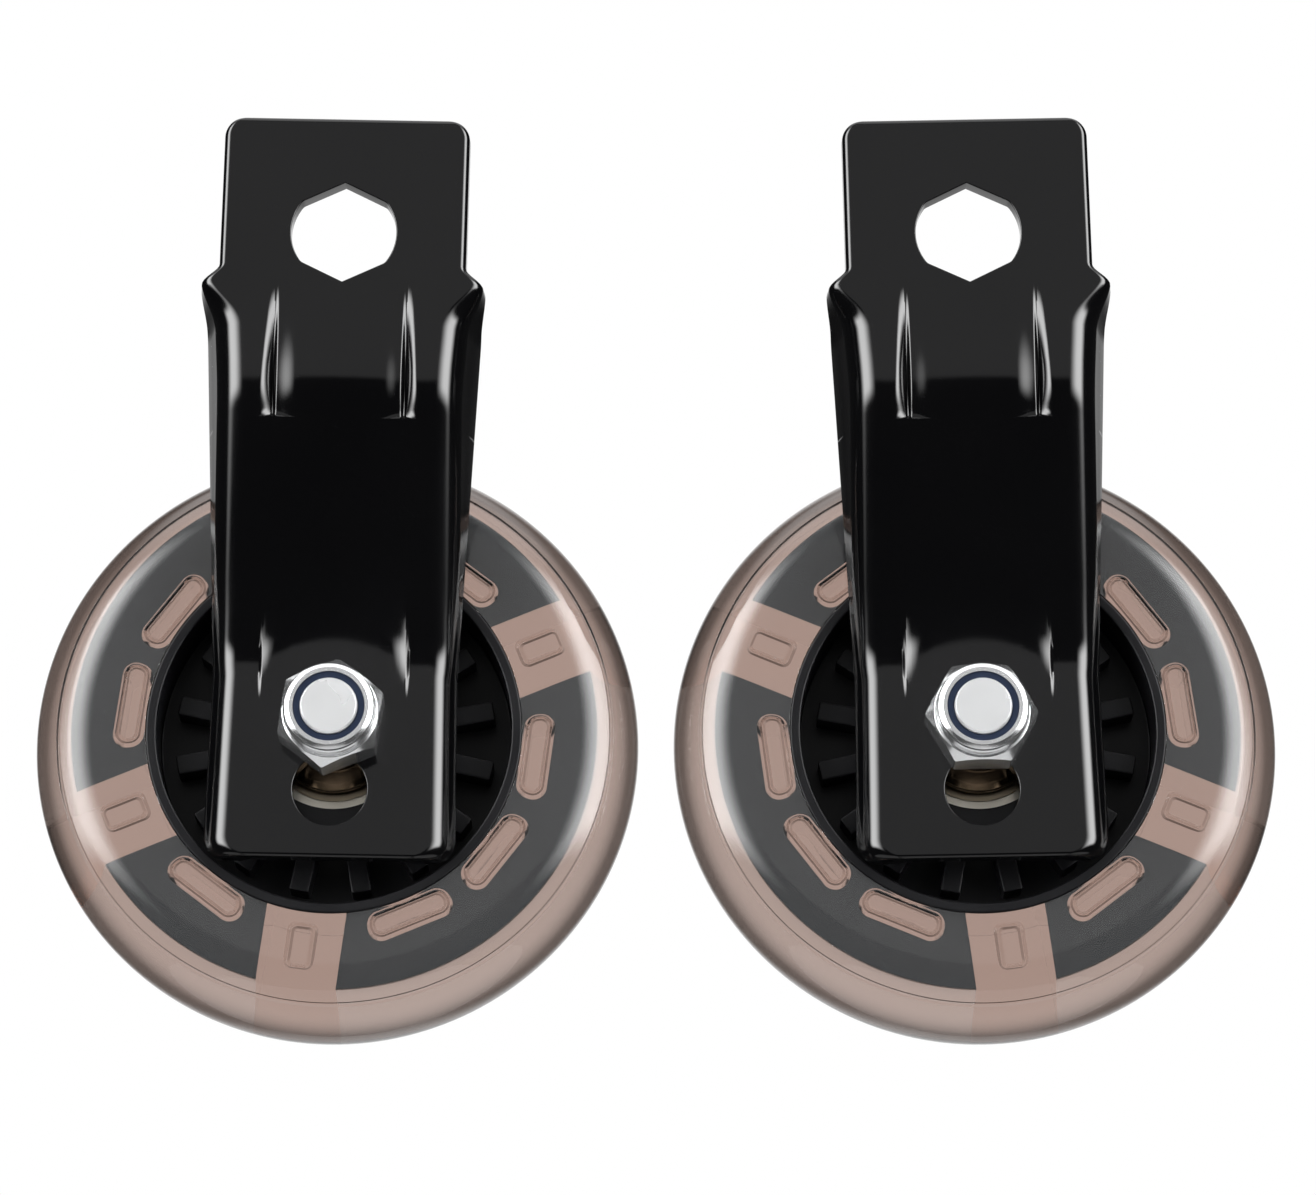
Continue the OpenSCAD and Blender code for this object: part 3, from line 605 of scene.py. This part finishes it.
ball_steel = finish("ball_steel", (0.62, 0.62, 0.63), (0.7, 0.7, 0.71), 0.08, 0.12, 900, 200,
                    0.05, 0.00001, Metallic=1.0)
cage_steel = finish("cage_steel", (0.45, 0.42, 0.36), (0.5, 0.47, 0.4), 0.35, 0.45, 900, 200,
                    0.1, 0.00002, Metallic=1.0)
for side in ("left", "right"):
    for place in ("front", "rear"):
        for part, steel in (("balls", ball_steel), ("cage", cage_steel)):
            mesh = frame["nodes"][f"{side}_{place}_{part}"].data
            mesh.materials.clear()
            mesh.materials.append(steel)


# Wheel cores: one moulding of glass-filled nylon each, with a boss for the bearings, a web with
# sixteen ribs on both sides, a barrel whose rims show as a black ring, and a pierced flange
# that anchors the tyre. Slots have drafted walls and windows run out through the flange's rim.
pattern_turn, pattern_steps, rib_count = -6.4, 12, 16
window_places, slot_places = (0, 4, 6, 10), (1, 2, 3, 5, 7, 8, 9, 11)
core_r, core_w, barrel_r, barrel_bore_r, boss_r, bearing_seat_r = 43.2, 21.0, 30.9, 29.2, 16.2, 13.01
slot_l, slot_w, slot_r, slot_draft, window_w = 14.6, 5.2, 33.8, 1.2, 13.2
flange_root_r, hollow_root_r = 30.05, 30.2


def at_place(bm, k):
    """Turns a tool that is drawn on the +X side to a place of the wheel's pattern."""
    turn = math.radians(90 - pattern_turn - 360 * k / pattern_steps)
    bmesh.ops.transform(bm, matrix=Matrix.Rotation(turn, 4, "Y"), verts=bm.verts)
    return bm


def rounded_outline(length, width, r, n=8):
    """An oblong with round corners, as points [along, across]."""
    points = []
    for sx, sy, start in ((1, 1, 0), (-1, 1, 90), (-1, -1, 180), (1, -1, 270)):
        for i in range(n + 1):
            a = math.radians(start + 90 * i / n)
            points.append((sx * (length / 2 - r) + r * math.cos(a), sy * (width / 2 - r) + r * math.sin(a)))
    return points


def slot_ring(inset, y):
    """A slot's oblong, bent round the wheel, as a ring of points at one depth."""
    width = slot_w - 2 * inset
    ring = []
    for along, across in rounded_outline(slot_l - 2 * inset, width, 0.45 * width):
        a, r = along / slot_r, slot_r + across
        ring.append((r * math.cos(a), y, -r * math.sin(a)))
    return ring


def slot_tool(grow):
    """A slot, drafted from both faces of the core towards its middle."""
    half = core_w / 2
    steps = ((-half - 2, -0.25), (-half, 0.0), (0.0, slot_draft), (half, 0.0), (half + 2, -0.25))
    return wrapped([slot_ring(inset + grow, wheel_y + h) for h, inset in steps])


def window_tool(grow):
    """A window that runs from inside the barrel out through the flange's rim."""
    half = window_w / 2 - grow
    outline = [(20, -half), (60, -half), (60, half), (20, half)]
    return wrapped([[(x, wheel_y + h, z) for x, z in outline] for h in (-13, 13)])


def core_flange(grow):
    """The flange, or with grow the hollow that the tyre keeps round it."""
    half = core_w / 2 + grow
    root, outer_r = flange_root_r if grow == 0 else hollow_root_r, core_r + grow
    ring = turned([[root, wheel_y - half], [outer_r, wheel_y - half], [outer_r, wheel_y + half],
                   [root, wheel_y + half]], 0.35, 192)
    tools = [at_place(window_tool(grow), k) for k in window_places]
    tools += [at_place(slot_tool(grow), k) for k in slot_places]
    return cut(ring, tools)


def rib(k):
    """One rib through the web, from the boss to just short of the barrel."""
    middle_r, length, width, thickness = 20.85, 11.3, 13, 3.3
    bm = bmesh.new()
    bmesh.ops.create_cube(bm, size=1)
    bmesh.ops.transform(bm, verts=bm.verts, matrix=Matrix.Rotation(math.tau * (k + 0.5) / rib_count, 4, "Y")
                        @ Matrix.Translation((middle_r, wheel_y, 0))
                        @ Matrix.Diagonal((length, width, thickness, 1)))
    bmesh.ops.bevel(bm, geom=bm.edges[:], offset=0.4, segments=2, profile=0.5, affect="EDGES", material=-1)
    return bm


front_half = [[11.6, sleeve_front], [bearing_seat_r, sleeve_front], [bearing_seat_r, 6.5], [boss_r, 6.5],
              [boss_r, 15.5], [barrel_bore_r, 15.5], [barrel_bore_r, 5], [barrel_r, 5]]
rear_half = [[r, 2 * wheel_y - y] for r, y in reversed(front_half)]
hub = turned(front_half + rear_half, 0.35, 160)
core_mesh = joined([hub, core_flange(0.0)] + [rib(k) for k in range(rib_count)])
core_nylon = finish("core_nylon", (0.005, 0.005, 0.006), (0.008, 0.008, 0.009), 0.34, 0.44, 1300, 90,
                    0.4, 0.00006, Specular_IOR_Level=0.2)
make_pair(core_mesh, "moulded_core", core_nylon, ["wheel_core"], "SIDE_wheel")


# Tyres: smoky clear polyurethane cast round the flange, with a round tread and a mould seam near
# its front. It fills the slots and windows, and a fine moulded frame marks each in the front face.
tread_r, tread_circle_r, tyre_bore_r, flange_gap = 12, 38, 30.98, 0.06
tyre_front, tyre_back = wheel_y - tread_r, wheel_y + tread_r
window_frame_r, window_frame_l, window_frame_w, slot_frame_inset = 36.7, 8, 5, 0.5


def window_frame_ring(inset, y):
    """The frame in a window, as a ring of points at one depth."""
    outline = rounded_outline(window_frame_l - 2 * inset, window_frame_w - 2 * inset, 1.3 - 0.6 * inset)
    return [(window_frame_r + x, y, z) for x, z in outline]


def slot_frame_ring(inset, y):
    """The frame inside a slot's mouth, as a ring of points at one depth."""
    return slot_ring(slot_frame_inset + inset, y)


def frame_tool(ring, width, k):
    """A frame's groove in the tyre's front face, with walls that slope at 45 degrees."""
    deep = width / 2 - 0.05
    outer = wrapped([ring(t, tyre_front + t) for t in (-0.4, deep)])
    inner = wrapped([ring(width - t, tyre_front + t) for t in (-0.5, deep + 0.05)])
    return at_place(cut(outer, [inner]), k)


def tread_point(turn, r=tread_r):
    return [tread_circle_r + r * math.cos(turn), wheel_y + r * math.sin(turn)]


tread = [tread_point(math.radians(-90 + 180 * i / 48)) for i in range(49)]
seam, seam_floor_r = math.radians(-51), 11.75
seam_line = [(-0.035, tread_r), (-0.012, seam_floor_r), (0.012, seam_floor_r), (0.035, tread_r)]
tread[9:12] = [tread_point(seam + turn, r) for turn, r in seam_line]
skin = turned([[tyre_bore_r, tyre_front], *tread, [tyre_bore_r, tyre_back]], 0.05, 192)
frames = [frame_tool(slot_frame_ring, 0.9, k) for k in slot_places]
frames += [frame_tool(window_frame_ring, 1.15, k) for k in window_places]
tyre_mesh = cut(skin, [core_flange(flange_gap)] + frames)
smoke_tyre = bpy.data.materials.new("smoke_polyurethane")
smoke_tyre.use_nodes = True
nodes, links = smoke_tyre.node_tree.nodes, smoke_tyre.node_tree.links
glass = nodes["Principled BSDF"]
# Painted shade: face-on the glass keeps the polyurethane's own light grey tint, but where its surface is
# seen at a grazing angle the colour turns dark grey, so the tread darkens towards the wheel's outline.
facing = nodes.new("ShaderNodeLayerWeight")
facing.inputs["Blend"].default_value = 0.5
rim = nodes.new("ShaderNodeMapRange")
rim.interpolation_type = "SMOOTHSTEP"
rim.inputs["From Min"].default_value = 0.2
rim.inputs["From Max"].default_value = 0.55
links.new(facing.outputs["Facing"], rim.inputs["Value"])
tint_and_painted_rim_shade = nodes.new("ShaderNodeMix")
tint_and_painted_rim_shade.data_type = "RGBA"
tint_and_painted_rim_shade.inputs["A"].default_value = (0.74, 0.77, 0.79, 1)
tint_and_painted_rim_shade.inputs["B"].default_value = (0.08, 0.08, 0.08, 1)
links.new(rim.outputs["Result"], tint_and_painted_rim_shade.inputs["Factor"])
links.new(tint_and_painted_rim_shade.outputs["Result"], glass.inputs["Base Color"])
glass.inputs["Roughness"].default_value = 0.05
glass.inputs["IOR"].default_value = 1.43
glass.inputs["Transmission Weight"].default_value = 0.97
depth_tint = nodes.new("ShaderNodeVolumeAbsorption")
depth_tint.inputs["Color"].default_value = (0.58, 0.30, 0.16, 1)
depth_tint.inputs["Density"].default_value = 60.0
links.new(depth_tint.outputs["Volume"], nodes["Material Output"].inputs["Volume"])
clear = nodes.new("ShaderNodeBsdfTransparent")
clear.inputs["Color"].default_value = (0.9, 0.88, 0.86, 1)
path = nodes.new("ShaderNodeLightPath")
choice = nodes.new("ShaderNodeMixShader")
links.new(path.outputs["Is Shadow Ray"], choice.inputs["Fac"])
links.new(glass.outputs["BSDF"], choice.inputs[1])
links.new(clear.outputs["BSDF"], choice.inputs[2])
links.new(choice.outputs["Shader"], nodes["Material Output"].inputs["Surface"])
make_pair(tyre_mesh, "cast_tyre", smoke_tyre, ["tyre"], "SIDE_wheel", 25)


# Studio: the pair hangs in front of white, over a pale floor far below, between two upright
# softboxes and a broad top light. Its surfaces mirror the world: a grey wall in front, a bright
# panel on each side and a ceiling, with white only behind.
floor_r, floor_z = 1, -0.9
floor_bm = bmesh.new()
bmesh.ops.create_circle(floor_bm, cap_ends=True, segments=64, radius=floor_r)
bmesh.ops.translate(floor_bm, verts=floor_bm.verts, vec=(0, 0, floor_z))
floor_mesh = bpy.data.meshes.new("studio_floor")
floor_bm.to_mesh(floor_mesh)
floor_bm.free()
floor = bpy.data.objects.new("studio_floor", floor_mesh)
bpy.context.scene.collection.objects.link(floor)
pale = bpy.data.materials.new("pale_floor")
pale.use_nodes = True
pale.node_tree.nodes["Principled BSDF"].inputs["Base Color"].default_value = (0.8, 0.8, 0.8, 1)
pale.node_tree.nodes["Principled BSDF"].inputs["Roughness"].default_value = 0.8
floor_mesh.materials.append(pale)

world = bpy.data.worlds.new("studio")
bpy.context.scene.world = world
world.use_nodes = True
world.cycles.sampling_method = "NONE"
nodes, links = world.node_tree.nodes, world.node_tree.links
parts = nodes.new("ShaderNodeSeparateXYZ")
links.new(nodes.new("ShaderNodeTexCoord").outputs["Generated"], parts.inputs["Vector"])


def combined(operation, a, b=0.0):
    """A Math node on two values or sockets."""
    node = nodes.new("ShaderNodeMath")
    node.operation = operation
    for socket, value in zip(node.inputs, (a, b)):
        if isinstance(value, float):
            socket.default_value = value
        else:
            links.new(value, socket)
    return node.outputs["Value"]


def stepped(value, start, end, low, high):
    """A value that goes smoothly from low to high while another goes from start to end."""
    level = nodes.new("ShaderNodeMapRange")
    level.interpolation_type = "SMOOTHSTEP"
    for name, number in (("From Min", start), ("From Max", end), ("To Min", low), ("To Max", high)):
        level.inputs[name].default_value = number
    links.new(value, level.inputs["Value"])
    return level.outputs["Result"]


wall_glow, panel_glow, ceiling_glow, dim_glow, plain_glow = 0.48, 13.0, 1.6, 0.02, 0.45
round_angle = combined("ARCTAN2", combined("ABSOLUTE", parts.outputs["X"]),
                       combined("MULTIPLY", parts.outputs["Y"], -1.0))
height = parts.outputs["Z"]
front_wall = combined("MULTIPLY", stepped(round_angle, 0.45, 1.1, wall_glow, 0.0),
                      stepped(height, -0.05, 0.04, 0.0, 1.0))
side_panels = combined("MULTIPLY", stepped(round_angle, 0.4, 0.9, 0.0, panel_glow),
                       stepped(round_angle, 1.05, 1.35, 1.0, 0.0))
side_panels = combined("MULTIPLY", side_panels, stepped(height, -0.25, -0.04, 0.0, 1.0))
walls = combined("ADD", front_wall, side_panels)
ceiling = combined("MULTIPLY", stepped(height, 0.72, 0.88, 0.0, 1.0), ceiling_glow)
studio = combined("ADD", combined("MULTIPLY", walls, stepped(height, 0.60, 0.80, 1.0, 0.0)),
                  combined("ADD", ceiling, dim_glow))
behind = stepped(round_angle, 2.6, 3.0, 0.0, 1.0)
room_light = nodes["Background"]
room_light.inputs["Color"].default_value = (1, 1, 1, 1)
links.new(studio, room_light.inputs["Strength"])
plain_light = nodes.new("ShaderNodeBackground")
plain_light.inputs["Color"].default_value = (1, 1, 1, 1)
plain_light.inputs["Strength"].default_value = plain_glow
white = nodes.new("ShaderNodeBackground")
white.inputs["Color"].default_value = (1, 1, 1, 1)
white.inputs["Strength"].default_value = 1.0
path = nodes.new("ShaderNodeLightPath")
soft_choice = nodes.new("ShaderNodeMixShader")
links.new(path.outputs["Is Diffuse Ray"], soft_choice.inputs["Fac"])
links.new(room_light.outputs["Background"], soft_choice.inputs[1])
links.new(plain_light.outputs["Background"], soft_choice.inputs[2])
ahead = stepped(combined("ABSOLUTE", parts.outputs["Y"]), 0.3, 0.85, 0.6, 1.0)
through = combined("MULTIPLY", path.outputs["Is Transmission Ray"], ahead)
mirrored = combined("MULTIPLY", path.outputs["Is Glossy Ray"], behind)
seen_white = combined("MAXIMUM", path.outputs["Is Camera Ray"], combined("MAXIMUM", through, mirrored))
choice = nodes.new("ShaderNodeMixShader")
links.new(seen_white, choice.inputs["Fac"])
links.new(soft_choice.outputs["Shader"], choice.inputs[1])
links.new(white.outputs["Background"], choice.inputs[2])
links.new(choice.outputs["Shader"], nodes["World Output"].inputs["Surface"])


pair_middle = Vector((0, 0, 0.07))


def softbox(name, place, width, height, power):
    """A rectangular lamp turned to the middle of the pair, which no surface mirrors."""
    lamp = bpy.data.lights.new(name, "AREA")
    lamp.shape = "RECTANGLE"
    lamp.size, lamp.size_y = width, height
    lamp.energy = power
    holder = bpy.data.objects.new(name, lamp)
    holder.location = place
    holder.rotation_euler = (pair_middle - Vector(place)).to_track_quat("-Z", "Y").to_euler()
    holder.visible_glossy = False
    bpy.context.scene.collection.objects.link(holder)


softbox("left_softbox", (-1.0, -0.65, 0.4), 0.8, 1.0, 6)
softbox("right_softbox", (1.0, -0.65, 0.4), 0.8, 1.0, 6)
softbox("top_softbox", (0, -0.35, 1.2), 1.4, 0.7, 5)

camera_tilt = 16.2
camera_data = bpy.data.cameras.new("photo_camera")
camera_data.sensor_width = 36
camera_data.lens = 148.4
camera = bpy.data.objects.new("photo_camera", camera_data)
camera.location = (0.00033, -0.8655, -0.1777)
camera.rotation_euler = (math.radians(90 + camera_tilt), 0, 0)
bpy.context.scene.collection.objects.link(camera)
bpy.context.scene.camera = camera
bpy.context.scene.view_settings.view_transform = "Standard"
